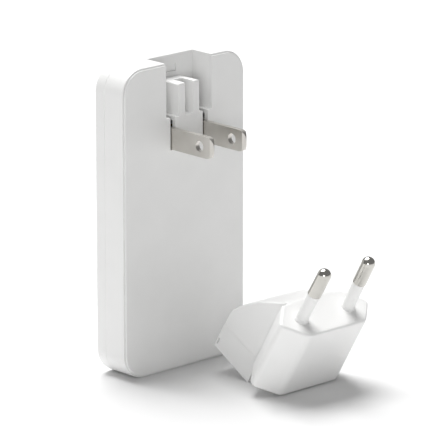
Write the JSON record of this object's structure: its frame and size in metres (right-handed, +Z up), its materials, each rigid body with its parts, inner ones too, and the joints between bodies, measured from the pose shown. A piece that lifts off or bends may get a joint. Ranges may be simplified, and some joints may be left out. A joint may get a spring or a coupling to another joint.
{
  "type": "usb wall charger",
  "caption": "Flat USB wall charger with folding flat prongs in a top notch, and a slide-on round-pin plug adapter lying behind it.",
  "frame": {"origin": "centre of the bottom edge face the charger stands on, mid width and mid depth", "axes": "+Z up the charger's height, +X across its width, -Y out of the back face, the way the unfolded prongs point"},
  "size_m": [0.0521, 0.0697, 0.092],
  "materials": {
    "white_casing": "fine moulded satin white polycarbonate",
    "white_plate": "fine moulded satin white polycarbonate",
    "white_adapter": "moulded satin white polycarbonate",
    "nickel_blade": "nickel plated brass",
    "nickel_pin": "nickel plated brass",
    "black_moulding": "glass-filled nylon",
    "spring_metal": "phosphor bronze sheet",
    "board_green": "solder resist over glass-epoxy",
    "ferrite": "sintered ferrite",
    "bobbin_plastic": "phenolic",
    "winding_tape": "polyester tape over copper wire",
    "copper_wire": "enamelled copper wire",
    "can_sleeve": "printed-free sleeve on an aluminium can",
    "chip_black": "moulded epoxy",
    "film_cap": "yellow moulded case",
    "disc_blue": "dipped epoxy",
    "fuse_glass": "ceramic tube with caps",
    "port_steel": "nickel plated steel",
    "port_plastic": "black nylon",
    "gold_contact": "gold flash",
    "aluminium_sheet": "rolled sheet",
    "thermal_silicone": "soft silicone",
    "clear_film": "aramid paper film"
  },
  "bodies": {
    "charger": {"front_cover": "white_casing", "mid_frame": "white_casing", "back_plate": "white_plate", "detent_spring": "spring_metal", "axle_retainer_left": "black_moulding", "axle_retainer_right": "black_moulding", "line_contact": "spring_metal", "neutral_contact": "spring_metal", "main_board": "board_green", "transformer_core": "ferrite", "transformer_bobbin": "bobbin_plastic", "transformer_winding": "winding_tape", "emi_choke_core": "ferrite", "emi_choke_winding": "copper_wire", "input_capacitors": "can_sleeve", "output_capacitors": "can_sleeve", "bridge_rectifier": "chip_black", "fuse": "fuse_glass", "x_capacitor": "film_cap", "y_capacitor": "disc_blue", "controller_chips": "chip_black", "optocoupler": "chip_black", "power_transistors": "chip_black", "heat_spreader": "aluminium_sheet", "thermal_pad": "thermal_silicone", "insulating_film": "clear_film", "usb_a_shell": "port_steel", "usb_a_tongue": "port_plastic", "usb_a_contacts": "gold_contact", "usb_c_shell": "port_steel", "usb_c_tongue": "port_plastic", "usb_c_contacts": "gold_contact"},
    "prongs": {"prong_carrier": "black_moulding", "prong_blade_left": "nickel_blade", "prong_blade_right": "nickel_blade"},
    "adapter": {"adapter_shell": "white_adapter", "adapter_pin_cap": "white_adapter", "adapter_rear_cover": "white_adapter", "eu_pin_left": "nickel_pin", "eu_pin_right": "nickel_pin", "pin_sleeve_left": "white_casing", "pin_sleeve_right": "white_casing", "adapter_contact_left": "spring_metal", "adapter_contact_right": "spring_metal"}
  },
  "joints": [
    {"name": "prong_fold", "type": "hinge", "parent": "charger", "child": "prongs", "pos_m": [0.00163, -0.00215, 0.0696], "axis": [-1, 0, 0], "range_deg": [0, 90]},
    {"name": "adapter_lift", "type": "slide", "parent": "charger", "child": "adapter", "axis": [0, 0, 1], "range_m": [0, 0.04]}
  ]
}
